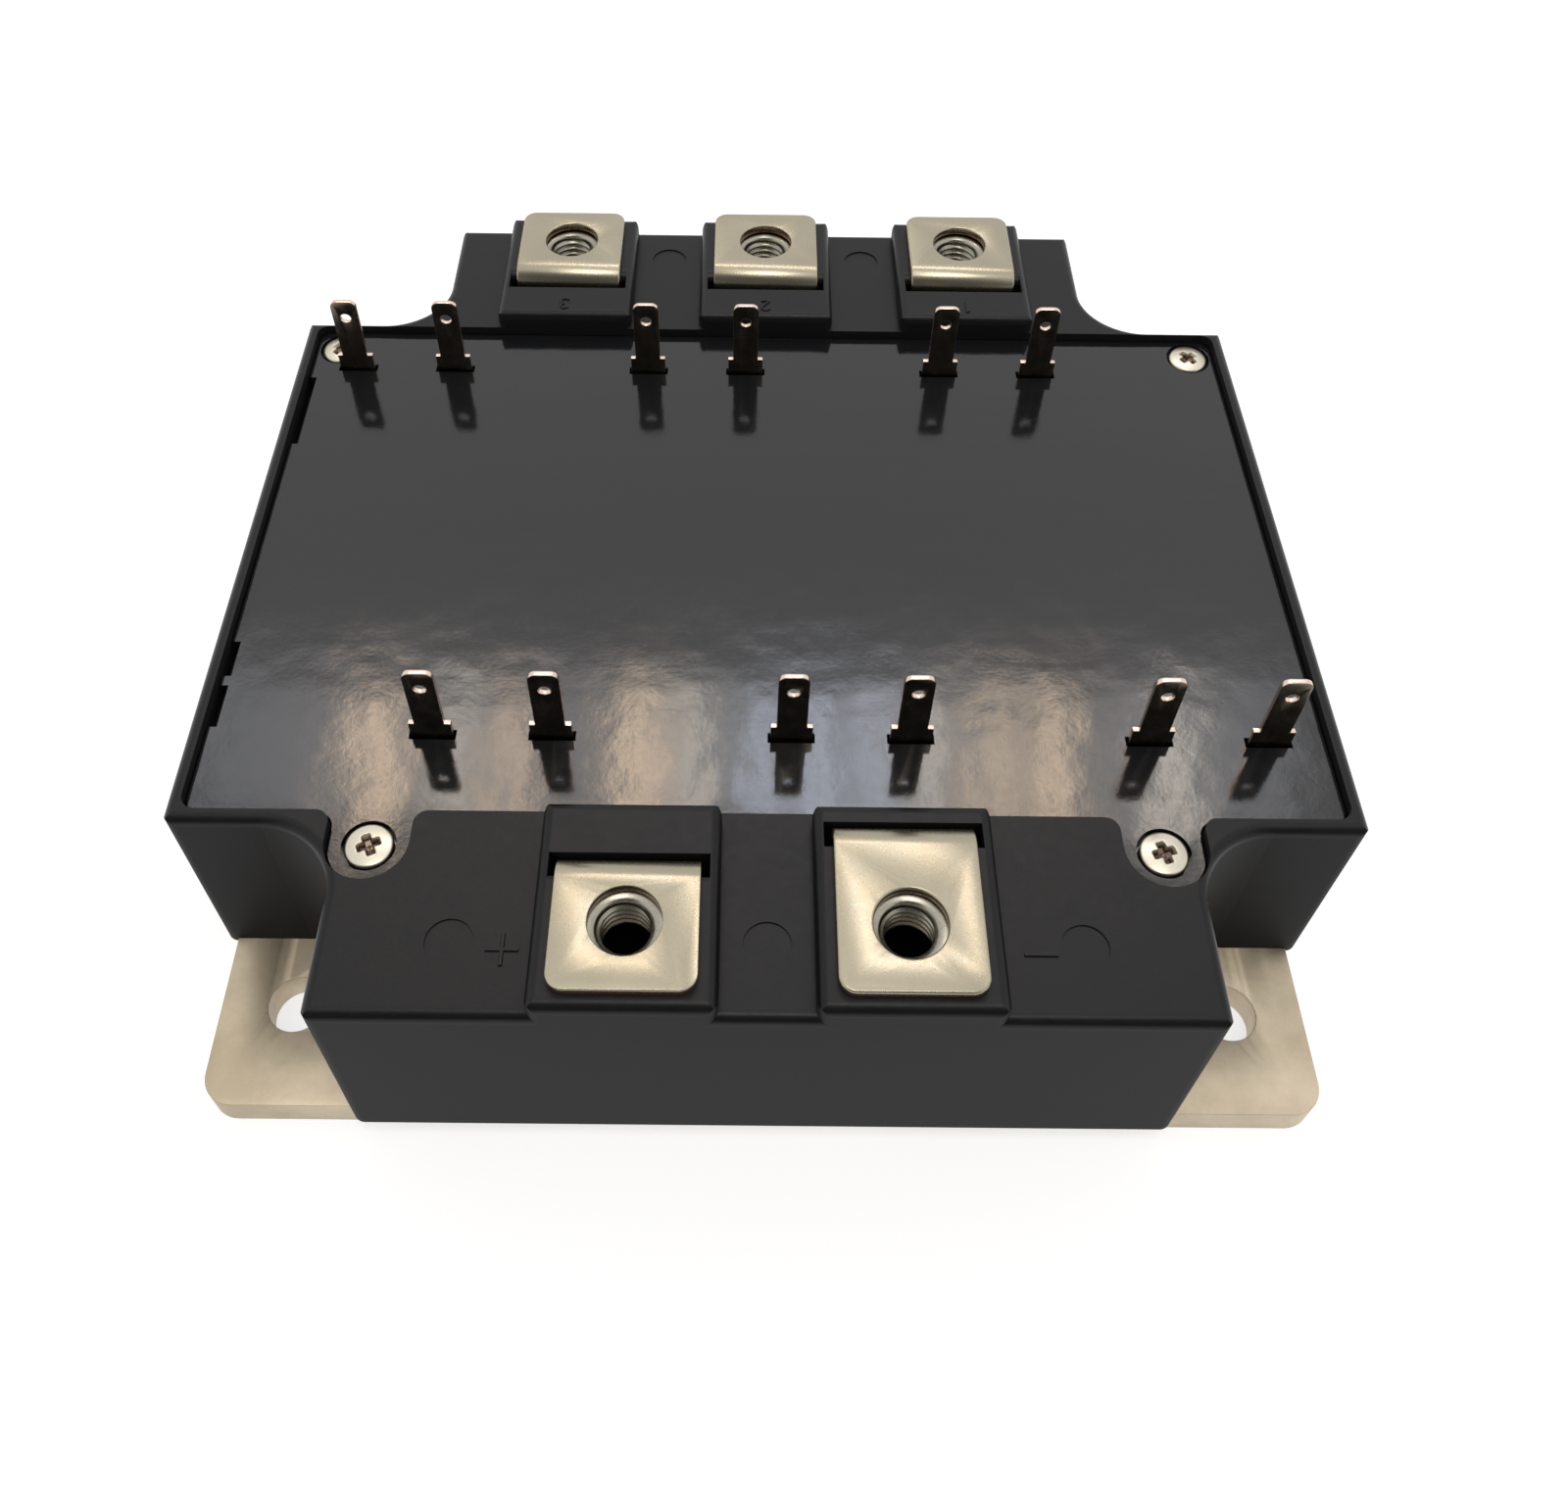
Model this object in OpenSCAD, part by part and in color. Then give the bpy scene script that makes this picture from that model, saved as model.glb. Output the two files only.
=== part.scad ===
// Six-pack IGBT power module: nickel-plated base plate, moulded case frame with a
// recessed cover, five screw terminals over captive nuts and twelve signal tabs.
// X runs along the long side, Y from the supply terminals to the output terminals,
// Z up. The origin is the centre of the base plate's underside.

/* [Base plate] */
// Width of the base plate along X
base_w = 104.4; // [103:0.1:105]
// Depth of the base plate along Y
base_d = 99.5; // [98:0.1:100]
// Thickness of the base plate
base_t = 3.5; // [3:0.1:4]
// Distance between mounting holes along X
hole_pitch_x = 90; // [89.75:0.05:90.25]
// Distance between mounting holes along Y
hole_pitch_y = 80; // [79.75:0.05:80.25]
// Diameter of the mounting holes
hole_d = 5.5; // [5.2:0.1:6]

/* [Case] */
// Overall width of the case
case_w = 107; // [106:0.5:110]
// Overall depth of the case
case_d = 102; // [101:0.5:106]
// Depth of the wide middle section
middle_d = 66.5; // [66.3:0.1:67]
// Width of the two end sections that carry the screw terminals
end_w = 75.6; // [75.4:0.1:76]
// Radius of the reliefs above the mounting holes
relief_r = 7; // [6:0.1:7]
// Height of the rim above the underside
rim_z = 26.4; // [25:0.1:28]
// Radius of the case's upright corners
corner_r = 1.2; // [0.6:0.1:1.4]
// Radius along the case's top edges
edge_r = 1.0; // [0.4:0.1:1.2]
// Height of the terminal blocks above the rim
block_rise = 2.0; // [1:0.1:3]

/* [Cover] */
// Depth of the cover's face below the rim
cover_drop = 1.0; // [0.6:0.1:1.2]
// Thickness of the cover
cover_t = 2.0; // [1.6:0.1:2]
// Gap all round the cover
cover_gap = 0.2; // [0.1:0.05:0.3]

/* [Screw terminals] */
// Distance between neighbouring output terminals
terminal_pitch = 23.5; // [22:0.1:24]
// Width of the terminal straps
strap_w = 12.3; // [11:0.1:13]
// Thickness of the terminal straps
strap_t = 1.0; // [0.8:0.1:1.2]
// Diameter of the hole in a strap
strap_hole_d = 6.2; // [5.5:0.1:6.4]

/* [Signal tabs] */
// Grid that the tabs stand on
tab_grid = 11.1; // [11:0.05:11.15]
// Sideways shift of each row from the centre line
row_shift = 7.85; // [7.7:0.05:7.9]
// Width of the tab blades
tab_w = 2.8; // [2:0.1:3]
// Thickness of the tab blades
tab_t = 0.5; // [0.4:0.05:0.8]
// Height of the tab tips above the underside
tab_z = 35.3; // [33:0.1:37]

/* [Hidden] */
$fn = 48;

// levels above the underside
cover_z = rim_z - cover_drop;
ledge_z = cover_z - cover_t;
block_z = rim_z + block_rise;
strap_z = block_z + strap_t;
skirt_z = base_t - 0.5;
bay_z = ledge_z - 1;

base_corner_r = 3;

// the cover's outline: its middle, half sizes and the two front screws' lobes
cover_w = 104;
cover_front = -31.7;
cover_back = 32.4;
cover_r = 1.4;
lobe_r = 3.55;
lobe_fillet = 1.5;
screw_front = [34.95, -34.9];
screw_back = [49.2, 29.6];
screw_xy = [[-screw_front[0], screw_front[1]], screw_front, [-screw_back[0], screw_back[1]], screw_back];
screw_head_r = 2.15;
screw_head_h = 1.5;
screw_dome_r = 4.2;
cross_len = 2.5;
cross_w = 0.6;
cross_deep = 0.9;
cross_turn = 20;
screw_seat_r = 2.45;
screw_seat = 1.2;
screw_r = 1.1;
screw_room = 0.4;
screw_len = 9;
pilot_z = 13.8;
boss_r = 2.4;

// stiffening ribs under the cover
cover_rib_t = 1.4;
cover_rib_h = 3;
cover_rib_x = 46;
cover_rib_y = [-12, 12];
cover_rib_end = [-18, 20];

// moulded edge notches in the cover's left side: start, end and depth
cover_notches = [[14.2, 24.8, 0.8], [-16.9, -12.8, 0.8], [-22.7, -18, 0.8]];

// walls inside the case
middle_in = [101, 61.2];
bay_w = 70.4;
bay_y = 40.2;
core_y = [41.8, 48.6];
core_z = 12;
core_n = 6;
rib_t = 1.6;

ejector_xy = [[-26.5, -44.3], [0, -44.3], [26.5, -44.3], [-11.75, 45.4], [11.75, 45.4]];
ejector_r = 2.05;
ejector_depth = 0.15;

// terminal blocks
block_w = 15.6;
block_r = 1.2;
block_front = [-case_d / 2, cover_front - cover_gap];
block_back = [cover_back + cover_gap, case_d / 2];

// terminal straps: the leg's outer face, the slot round it, the tab's end and its hole
supply_x = terminal_pitch / 2;
positive_face = -37.3;
negative_face = -33.95;
output_face = 38.65;
positive_slot = [-39.2, -37];
negative_slot = [-36.2, -33.8];
output_slot = [37.55, 39.85];
supply_end = -49.7;
output_end = 50.75;
supply_hole = -43.7;
output_hole = 45.4;
bend_r = 2.5;
strap_r = 1.5;
slot_w = 13.8;

// nuts under the straps
nut_af = 8;
nut_h = 4;
nut_bore_r = 2.1;
nut_gap = 0.1;
nut_drop = 0.3;
bolt_room_r = 2.75;
bolt_room_z = 14;

// signal tabs
tab_y = [-23.3, 26.5];
tab_steps = [-3.5, -2.5, -0.5, 0.5, 2.5, 3.5];
tab_r = 0.8;
tab_hole_d = 1.2;
tab_hole_drop = 2.3;
shoulder_w = 3.9;
shoulder_z = 27.5;
shank_w = 1.6;
shank_z = 20;
tab_slot = [4.4, 1.1];
tab_foot = 1.6;
tab_pad = 2.4;
gate_wire_at = 2;

// substrates: one for each phase, with copper bonded to both sides
phase_pitch = 3 * tab_grid;
ceramic = [30.6, 56];
ceramic_t = 0.6;
copper_t = 0.3;
copper_margin = 0.7;
copper_y = ceramic[1] / 2 - copper_margin;
track_z = base_t + 2 * copper_t + ceramic_t;

// a phase's copper, as spans in X and Y from its centre; the right phase is mirrored
phase_hand = [1, 1, -1];
supply_island = [[-14.6, 9], [-20, -1]];
output_island = [[-14.6, 9], [0, 18.6]];
return_track = [[9.6, 11.9], [-copper_y, 16.5]];
pad_rim = 0.4;
pad_end = 24;
output_pad_end = 18;

// dies and wires, from the same centre
die_t = 0.3;
die_z = track_z + die_t;
die_y = [-10.5, 9.3];
switch_x = 2.4;
switch_size = [12, 12];
diode_x = -9.2;
diode_size = [8, 10];
wire_r = 0.19;
gate_wire_r = 0.1;
wire_pitch = 1.5;
wire_n = 5;
wire_foot = 4.6;
wire_rest = 2.6;
wire_inset = 1.2;

// supply bars inside the front bay: lower and upper edge, and where the feet stand
positive_bar = [8, 14];
negative_bar = [11.5, 17.5];
bar_x = 30.4;
positive_foot = 5.9;
negative_foot = 10.2;
output_leg_z = 8;
output_foot_x = [-24.5, 3, 25.3];
foot_w = 3.2;
output_foot_w = 6;
foot_pad = 3;
foot_y = 27.2;

// ---- plan shapes -------------------------------------------------------------

module rounded_rect(w, d, r) {
    square([w - 2 * r, d], center = true);
    square([w, d - 2 * r], center = true);
    for (x = [-1, 1], y = [-1, 1])
        translate([x * (w / 2 - r), y * (d / 2 - r)]) circle(r);
}

// the base plate's plan
module plate_plan() {
    rounded_rect(base_w, base_d, base_corner_r);
}

// a rectangle standing on y = 0 whose two top corners are rounded
module arch(w, h, r) {
    translate([-w / 2, 0]) square([w, h - r]);
    translate([-w / 2 + r, 0]) square([w - 2 * r, h]);
    for (x = [-1, 1])
        translate([x * (w / 2 - r), h - r]) circle(r);
}

// extrudes a Y-Z outline along X, centred on x = 0
module across(w) {
    translate([-w / 2, 0, 0]) rotate([90, 0, 90]) linear_extrude(w) children();
}

// extrudes an X-Z outline along Y, centred on y = 0
module along(d) {
    translate([0, d / 2, 0]) rotate([90, 0, 0]) linear_extrude(d) children();
}

// a block with rounded upright corners and rounded top edges
module soft_block(w, d, h, corner, edge) {
    intersection() {
        linear_extrude(h) rounded_rect(w, d, corner);
        along(d + 2) arch(w, h, edge);
        across(w + 2) arch(d, h, edge);
    }
}

// the cover's outline, grown all round by g
module cover_outline(g) {
    translate([0, (cover_front + cover_back) / 2])
        rounded_rect(cover_w + 2 * g, cover_back - cover_front + 2 * g, cover_r);
    for (s = [-1, 1]) {
        translate([s * screw_front[0], screw_front[1]]) {
            circle(lobe_r + g);
            translate([-lobe_r - g, 0]) square([2 * (lobe_r + g), 5]);
        }
        for (side = [-1, 1])
            translate([s * screw_front[0] + side * (lobe_r + lobe_fillet), cover_front - lobe_fillet])
                difference() {
                    translate([side > 0 ? -lobe_fillet - g : 0, 0])
                        square([lobe_fillet + g, lobe_fillet + 1]);
                    circle(lobe_fillet - g);
                }
    }
}

// ---- case --------------------------------------------------------------------

// the solid outer form: a wide middle, a narrower end section at front and back,
// and a quarter-round relief above each mounting hole
module case_form() {
    h = rim_z - skirt_z;
    relief = [end_w / 2 + relief_r, middle_d / 2 + relief_r];
    translate([0, 0, skirt_z]) {
        soft_block(case_w, middle_d, h, corner_r, edge_r);
        soft_block(end_w, case_d, h, corner_r, edge_r);
        for (x = [-1, 1], y = [-1, 1])
            translate([x * relief[0], y * relief[1], 0])
                difference() {
                    translate([x > 0 ? -relief_r - edge_r : 0, y > 0 ? -relief_r - edge_r : 0, 0])
                        cube([relief_r + edge_r, relief_r + edge_r, h]);
                    translate([0, 0, -1]) cylinder(r = relief_r, h = h + 2);
                    relief_edge(h);
                }
    }
}

// what rounds the top edge of a relief: a ring with a hollow quarter-round flank
module relief_edge(h) {
    rotate_extrude()
        difference() {
            translate([relief_r - 0.5, h - edge_r]) square([edge_r + 0.5, edge_r + 1]);
            translate([relief_r + edge_r, h - edge_r]) circle(edge_r);
        }
}

module terminal_blocks() {
    front_d = block_front[1] - block_front[0];
    back_d = block_back[1] - block_back[0];
    for (x = [-supply_x, supply_x])
        translate([x, (block_front[0] + block_front[1]) / 2, bay_z])
            soft_block(block_w, front_d, block_z - bay_z, block_r, edge_r);
    for (i = [-1:1])
        translate([i * terminal_pitch, (block_back[0] + block_back[1]) / 2, bay_z])
            soft_block(block_w, back_d, block_z - bay_z, block_r, edge_r);
}

// shallow round marks that the ejector pins leave on the end sections
module ejector_marks() {
    for (p = ejector_xy)
        translate([p[0], p[1], rim_z - ejector_depth]) cylinder(r = ejector_r, h = 1);
}

// the hollow for the substrates, with a bay at each end for the straps' legs
module case_hollow() {
    translate([-middle_in[0] / 2, -middle_in[1] / 2, 0]) cube([middle_in[0], middle_in[1], ledge_z + 1]);
    for (s = [-1, 1])
        translate([-bay_w / 2, s > 0 ? middle_in[1] / 2 - 1 : -bay_y, 0])
            cube([bay_w, bay_y - middle_in[1] / 2 + 1, bay_z]);
}

// pockets that core out the end sections from below, with ribs between them
module end_cores() {
    pitch = bay_w / core_n;
    for (s = [-1, 1], i = [0:core_n - 1])
        translate([-bay_w / 2 + i * pitch + rib_t / 2, s > 0 ? core_y[0] : -core_y[1], 0])
            cube([pitch - rib_t, core_y[1] - core_y[0], core_z]);
}

// a strap's slot, from the top of its block down to the bay
module strap_slot(x, span) {
    translate([x - slot_w / 2, span[0], bay_z - 1]) cube([slot_w, span[1] - span[0], block_z - bay_z + 2]);
}

// rounds the slot's edge to the inside of the strap's bend
module bend_seat(x, face) {
    r = bend_r - strap_t;
    translate([x, face - bend_r, block_z - r])
        across(slot_w)
            difference() {
                square([bend_r, r + 1]);
                circle(r);
            }
}

// a hexagonal nut pocket with room for the bolt's end under it
module nut_pocket(x, y) {
    translate([x, y, block_z - nut_drop - nut_h])
        cylinder(d = (nut_af + 2 * nut_gap) / cos(30), h = nut_h + nut_drop + 1, $fn = 6);
    translate([x, y, bolt_room_z]) cylinder(r = bolt_room_r, h = block_z - bolt_room_z);
}

module cover_bosses() {
    intersection() {
        for (p = screw_xy)
            translate([p[0], p[1], core_z]) cylinder(r = boss_r, h = ledge_z - core_z);
        case_form();
    }
}

module case_frame() {
    color([0.22, 0.22, 0.235])
        difference() {
            union() {
                difference() {
                    union() {
                        case_form();
                        terminal_blocks();
                    }
                    case_hollow();
                    translate([0, 0, ledge_z]) linear_extrude(block_z) cover_outline(cover_gap);
                }
                cover_bosses();
            }
            linear_extrude(base_t) plate_plan();
            end_cores();
            ejector_marks();
            strap_slot(-supply_x, positive_slot);
            strap_slot(supply_x, negative_slot);
            bend_seat(-supply_x, positive_face);
            bend_seat(supply_x, negative_face);
            nut_pocket(-supply_x, supply_hole);
            nut_pocket(supply_x, supply_hole);
            for (i = [-1:1]) {
                strap_slot(i * terminal_pitch, output_slot);
                mirror([0, 1, 0]) bend_seat(i * terminal_pitch, -output_face);
                nut_pocket(i * terminal_pitch, output_hole);
            }
            for (p = screw_xy)
                translate([p[0], p[1], pilot_z]) cylinder(r = screw_r, h = ledge_z - pilot_z + 1);
        }
}

// ---- cover and its screws ----------------------------------------------------

module cover() {
    color([0.27, 0.27, 0.27])
        difference() {
            union() {
                translate([0, 0, ledge_z]) linear_extrude(cover_t) cover_outline(0);
                for (y = cover_rib_y)
                    translate([-cover_rib_x, y - cover_rib_t / 2, ledge_z - cover_rib_h])
                        cube([2 * cover_rib_x, cover_rib_t, cover_rib_h + 0.5]);
                for (x = [-1.5:1.5])
                    translate([x * 2 * tab_grid - cover_rib_t / 2, cover_rib_end[0], ledge_z - cover_rib_h])
                        cube([cover_rib_t, cover_rib_end[1] - cover_rib_end[0], cover_rib_h + 0.5]);
            }
            for (row = [0, 1], k = [0:5])
                translate([tab_x(row, k), tab_y[row], ledge_z - 1])
                    linear_extrude(cover_t + 2) square(tab_slot, center = true);
            for (p = screw_xy)
                translate([p[0], p[1], 0]) {
                    translate([0, 0, ledge_z - 1]) cylinder(r = screw_r + screw_room, h = cover_t + 2);
                    translate([0, 0, cover_z - screw_seat]) cylinder(r = screw_seat_r, h = screw_seat + 1);
                }
            for (n = cover_notches)
                translate([-cover_w / 2 - 1, n[0], ledge_z - 1]) cube([n[2] + 1, n[1] - n[0], cover_t + 2]);
        }
}

// a pan head screw with a cross recess
module cover_screw(i) {
    seat_z = cover_z - screw_seat;
    color([0.80, 0.78, 0.71])
        translate([screw_xy[i][0], screw_xy[i][1], seat_z]) {
            difference() {
                intersection() {
                    cylinder(r = screw_head_r, h = screw_head_h);
                    translate([0, 0, screw_head_h - screw_dome_r]) sphere(screw_dome_r);
                }
                for (a = [0, 90])
                    rotate([0, 0, a + cross_turn])
                        translate([-cross_len / 2, -cross_w / 2, screw_head_h - cross_deep])
                            cube([cross_len, cross_w, screw_head_h]);
            }
            translate([0, 0, -screw_len]) cylinder(r = screw_r, h = screw_len + 0.5);
        }
}

// ---- base plate --------------------------------------------------------------

module base_plate() {
    color([0.74, 0.70, 0.60])
        difference() {
            linear_extrude(base_t) plate_plan();
            for (x = [-1, 1], y = [-1, 1])
                translate([x * hole_pitch_x / 2, y * hole_pitch_y / 2, -1])
                    cylinder(d = hole_d, h = base_t + 2);
        }
}

// ---- screw terminals ---------------------------------------------------------

// side view of a strap whose tab points to -Y; face is its bend's outer face
module strap_profile(face, end, low) {
    t = strap_t;
    translate([face - t, low]) square([t, strap_z - bend_r - low]);
    translate([end, strap_z - t]) square([face - bend_r - end, t]);
    translate([face - bend_r, strap_z - bend_r])
        intersection() {
            difference() {
                circle(bend_r);
                circle(bend_r - t);
            }
            square(bend_r);
        }
}

// the tab, its bend and the leg down to the bar
module strap(face, end, hole, low) {
    difference() {
        intersection() {
            across(strap_w) strap_profile(face, end, low);
            translate([0, (end + face + 10) / 2, 0])
                linear_extrude(strap_z + 1) rounded_rect(strap_w, face + 10 - end, strap_r);
        }
        translate([0, hole, strap_z - 3]) cylinder(d = strap_hole_d, h = 5);
    }
}

// a foot: in from the bar at height low, down to the copper and in again as a pad
module foot(face, w, low) {
    t = strap_t;
    across(w) {
        translate([face - t, low]) square([-foot_y + t - face, t]);
        translate([-foot_y, track_z]) square([t, low - track_z + t]);
        translate([-foot_y, track_z]) square([foot_pad, t]);
    }
}

module supply_terminal(x, face, bar, foot_at) {
    color([0.79, 0.75, 0.65]) {
        translate([x, 0, 0]) strap(face, supply_end, supply_hole, bar[0]);
        translate([-bar_x, face - strap_t, bar[0]]) cube([2 * bar_x, strap_t, bar[1] - bar[0]]);
        for (i = [-1:1]) translate([phase_x(i, foot_at), 0, 0]) foot(face, foot_w, bar[0]);
    }
}

module positive_terminal() {
    supply_terminal(-supply_x, positive_face, positive_bar, positive_foot);
}

module negative_terminal() {
    supply_terminal(supply_x, negative_face, negative_bar, negative_foot);
}

module output_terminal(i) {
    color([0.79, 0.75, 0.65])
        mirror([0, 1, 0]) {
            translate([i * terminal_pitch, 0, 0])
                strap(-output_face, -output_end, -output_hole, output_leg_z);
            translate([output_foot_x[i + 1], 0, 0])
                foot(-output_face, output_foot_w, output_leg_z);
        }
}

// a hexagonal nut with chamfered corners and a countersunk bore
module nut(x, y) {
    r = nut_af / 2 / cos(30);
    color([0.72, 0.70, 0.64])
        translate([x, y, block_z - nut_drop - nut_h])
            difference() {
                intersection() {
                    cylinder(r = r, h = nut_h, $fn = 6);
                    cylinder(r1 = nut_af / 2, r2 = nut_af / 2 + nut_h, h = nut_h);
                    cylinder(r1 = nut_af / 2 + nut_h, r2 = nut_af / 2, h = nut_h);
                }
                translate([0, 0, -1]) cylinder(r = nut_bore_r, h = nut_h + 2);
                translate([0, 0, nut_h - 0.6]) cylinder(r1 = nut_bore_r, r2 = nut_bore_r + 1, h = 1);
            }
}

// ---- signal tabs -------------------------------------------------------------

function tab_x(row, k) = (row == 0 ? row_shift : -row_shift) + tab_steps[k] * tab_grid;

// blade, shoulder in the cover's slot, shank and foot on the copper
module signal_tab(row, k) {
    s = row == 0 ? 1 : -1;
    color([0.70, 0.62, 0.52])
        translate([tab_x(row, k), tab_y[row], 0]) {
            along(tab_t)
                difference() {
                    union() {
                        translate([0, shoulder_z]) arch(tab_w, tab_z - shoulder_z, tab_r);
                        translate([-shoulder_w / 2, shank_z]) square([shoulder_w, shoulder_z - shank_z]);
                        translate([-shank_w / 2, track_z]) square([shank_w, shank_z - track_z]);
                    }
                    translate([0, tab_z - tab_hole_drop]) circle(d = tab_hole_d);
                }
            translate([-shank_w / 2, s > 0 ? 0 : -tab_foot, track_z]) cube([shank_w, tab_foot, tab_t]);
        }
}

// ---- substrates, dies and wires ----------------------------------------------

// where a place x from a phase's centre lies in the module
function phase_x(i, x) = i * phase_pitch + phase_hand[i + 1] * x;

module on_phase(i, z) {
    translate([i * phase_pitch, 0, z]) mirror([phase_hand[i + 1] < 0 ? 1 : 0, 0, 0]) children();
}

// a rectangle given by its spans in X and Y
module patch(x, y) {
    translate([x[0], y[0]]) square([x[1] - x[0], y[1] - y[0]]);
}

// a pad w wide plus its rim, centred on x
module pad(x, w, y) {
    patch([x - w / 2 - pad_rim, x + w / 2 + pad_rim], y);
}

module lower_copper(i) {
    color([0.80, 0.50, 0.34])
        on_phase(i, base_t) linear_extrude(copper_t)
            square([ceramic[0] - 2 * copper_margin, 2 * copper_y], center = true);
}

module ceramic_plate(i) {
    color([0.93, 0.92, 0.88])
        on_phase(i, base_t + copper_t) linear_extrude(ceramic_t) square(ceramic, center = true);
}

// an island under each pair of dies, joined to its strap's pad, the negative
// strap's track along the side, and a pad under each signal tab
module copper_tracks(i) {
    color([0.80, 0.50, 0.34]) {
        on_phase(i, track_z - copper_t) linear_extrude(copper_t) {
            patch(supply_island[0], supply_island[1]);
            patch(output_island[0], output_island[1]);
            patch(return_track[0], return_track[1]);
            pad(positive_foot, foot_w, [-copper_y, supply_island[1][0] + 1]);
            pad(negative_foot, foot_w, [-copper_y, -pad_end]);
        }
        translate([0, 0, track_z - copper_t]) linear_extrude(copper_t) {
            pad(output_foot_x[i + 1], output_foot_w, [output_pad_end, copper_y]);
            for (row = [0, 1], k = [2 * i + 2, 2 * i + 3])
                pad(tab_x(row, k), shank_w, tab_pad_y(row));
        }
    }
}

function tab_pad_y(row) = row == 0
    ? [tab_y[0] - tab_t, tab_y[0] + tab_pad]
    : [tab_y[1] - tab_pad, tab_y[1] + tab_t];

module dies(i, x, size) {
    on_phase(i, track_z)
        for (y = die_y)
            translate([x, y]) linear_extrude(die_t) square(size, center = true);
}

module switch_dies(i) {
    color([0.45, 0.46, 0.50]) dies(i, switch_x, switch_size);
}

module diode_dies(i) {
    color([0.55, 0.56, 0.60]) dies(i, diode_x, diode_size);
}

// a half-round loop of wire from a to b on a die's level
module wire_loop(a, b, r) {
    d = b - a;
    translate([(a[0] + b[0]) / 2, (a[1] + b[1]) / 2, die_z])
        rotate([0, 0, atan2(d[1], d[0])]) rotate([90, 0, 0])
            rotate_extrude(angle = 180) translate([norm(d) / 2, 0]) circle(r, $fn = 16);
}

// the same loop with its end b carried down to the copper
module wire_to_copper(a, b, r) {
    wire_loop(a, b, r);
    translate([b[0], b[1], track_z]) cylinder(r = r, h = die_t);
}

// from each switch to its diode, on to the next copper, and a thin one to each gate
module bond_wires(i) {
    color([0.86, 0.86, 0.87]) {
        on_phase(i, 0)
            for (k = [0:wire_n - 1]) {
                step = (k - (wire_n - 1) / 2) * wire_pitch;
                for (y = die_y)
                    wire_loop([switch_x - wire_foot, y + step], [diode_x + wire_rest, y + step], wire_r);
                wire_to_copper([switch_x + step, die_y[0] + wire_foot],
                    [switch_x + step, output_island[1][0] + wire_inset], wire_r);
                wire_to_copper([switch_x + wire_foot, die_y[1] + step],
                    [return_track[0][0] + wire_inset, die_y[1] + step], wire_r);
            }
        wire_to_copper([gate_x(0, i), die_y[0] - wire_foot],
            [gate_x(0, i), tab_y[0] + gate_wire_at], gate_wire_r);
        wire_to_copper([gate_x(1, i), die_y[1] + wire_foot],
            [gate_x(1, i), tab_y[1] - gate_wire_at], gate_wire_r);
    }
}

// the tab in each phase's pair that stands nearer the phase's centre
function gate_x(row, i) = tab_x(row, 2 * i + (row == 0 ? 2 : 3));

// ---- nodes -------------------------------------------------------------------

base_plate();
case_frame();
cover();
positive_terminal();
negative_terminal();
output_terminal(-1);  // output_terminal_left
output_terminal(0);  // output_terminal_middle
output_terminal(1);  // output_terminal_right
nut(-supply_x, supply_hole);  // positive_nut
nut(supply_x, supply_hole);  // negative_nut
nut(-terminal_pitch, output_hole);  // output_nut_left
nut(0, output_hole);  // output_nut_middle
nut(terminal_pitch, output_hole);  // output_nut_right
cover_screw(0);  // cover_screw_front_left
cover_screw(1);  // cover_screw_front_right
cover_screw(2);  // cover_screw_back_left
cover_screw(3);  // cover_screw_back_right
signal_tab(0, 0);  // signal_tab_front_1
signal_tab(0, 1);  // signal_tab_front_2
signal_tab(0, 2);  // signal_tab_front_3
signal_tab(0, 3);  // signal_tab_front_4
signal_tab(0, 4);  // signal_tab_front_5
signal_tab(0, 5);  // signal_tab_front_6
signal_tab(1, 0);  // signal_tab_back_1
signal_tab(1, 1);  // signal_tab_back_2
signal_tab(1, 2);  // signal_tab_back_3
signal_tab(1, 3);  // signal_tab_back_4
signal_tab(1, 4);  // signal_tab_back_5
signal_tab(1, 5);  // signal_tab_back_6
lower_copper(-1);  // lower_copper_left
lower_copper(0);  // lower_copper_middle
lower_copper(1);  // lower_copper_right
ceramic_plate(-1);  // ceramic_left
ceramic_plate(0);  // ceramic_middle
ceramic_plate(1);  // ceramic_right
copper_tracks(-1);  // copper_tracks_left
copper_tracks(0);  // copper_tracks_middle
copper_tracks(1);  // copper_tracks_right
switch_dies(-1);  // switch_dies_left
switch_dies(0);  // switch_dies_middle
switch_dies(1);  // switch_dies_right
diode_dies(-1);  // diode_dies_left
diode_dies(0);  // diode_dies_middle
diode_dies(1);  // diode_dies_right
bond_wires(-1);  // bond_wires_left
bond_wires(0);  // bond_wires_middle
bond_wires(1);  // bond_wires_right
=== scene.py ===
import math

import bmesh
import bpy
import numpy as np
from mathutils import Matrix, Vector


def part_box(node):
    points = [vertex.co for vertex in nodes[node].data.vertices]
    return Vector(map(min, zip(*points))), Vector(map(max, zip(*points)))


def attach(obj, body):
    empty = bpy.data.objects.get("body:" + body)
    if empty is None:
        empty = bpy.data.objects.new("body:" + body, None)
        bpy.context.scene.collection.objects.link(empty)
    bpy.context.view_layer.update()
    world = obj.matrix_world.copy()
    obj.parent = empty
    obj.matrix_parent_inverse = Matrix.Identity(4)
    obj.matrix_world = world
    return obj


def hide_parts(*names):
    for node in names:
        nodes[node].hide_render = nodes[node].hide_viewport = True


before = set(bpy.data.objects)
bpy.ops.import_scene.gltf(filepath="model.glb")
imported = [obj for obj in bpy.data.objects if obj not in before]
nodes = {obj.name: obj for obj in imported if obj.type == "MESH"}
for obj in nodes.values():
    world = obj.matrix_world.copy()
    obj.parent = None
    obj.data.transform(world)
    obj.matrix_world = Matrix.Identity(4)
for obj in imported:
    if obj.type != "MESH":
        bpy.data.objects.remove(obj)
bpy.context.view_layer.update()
MM = 0.001

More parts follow.
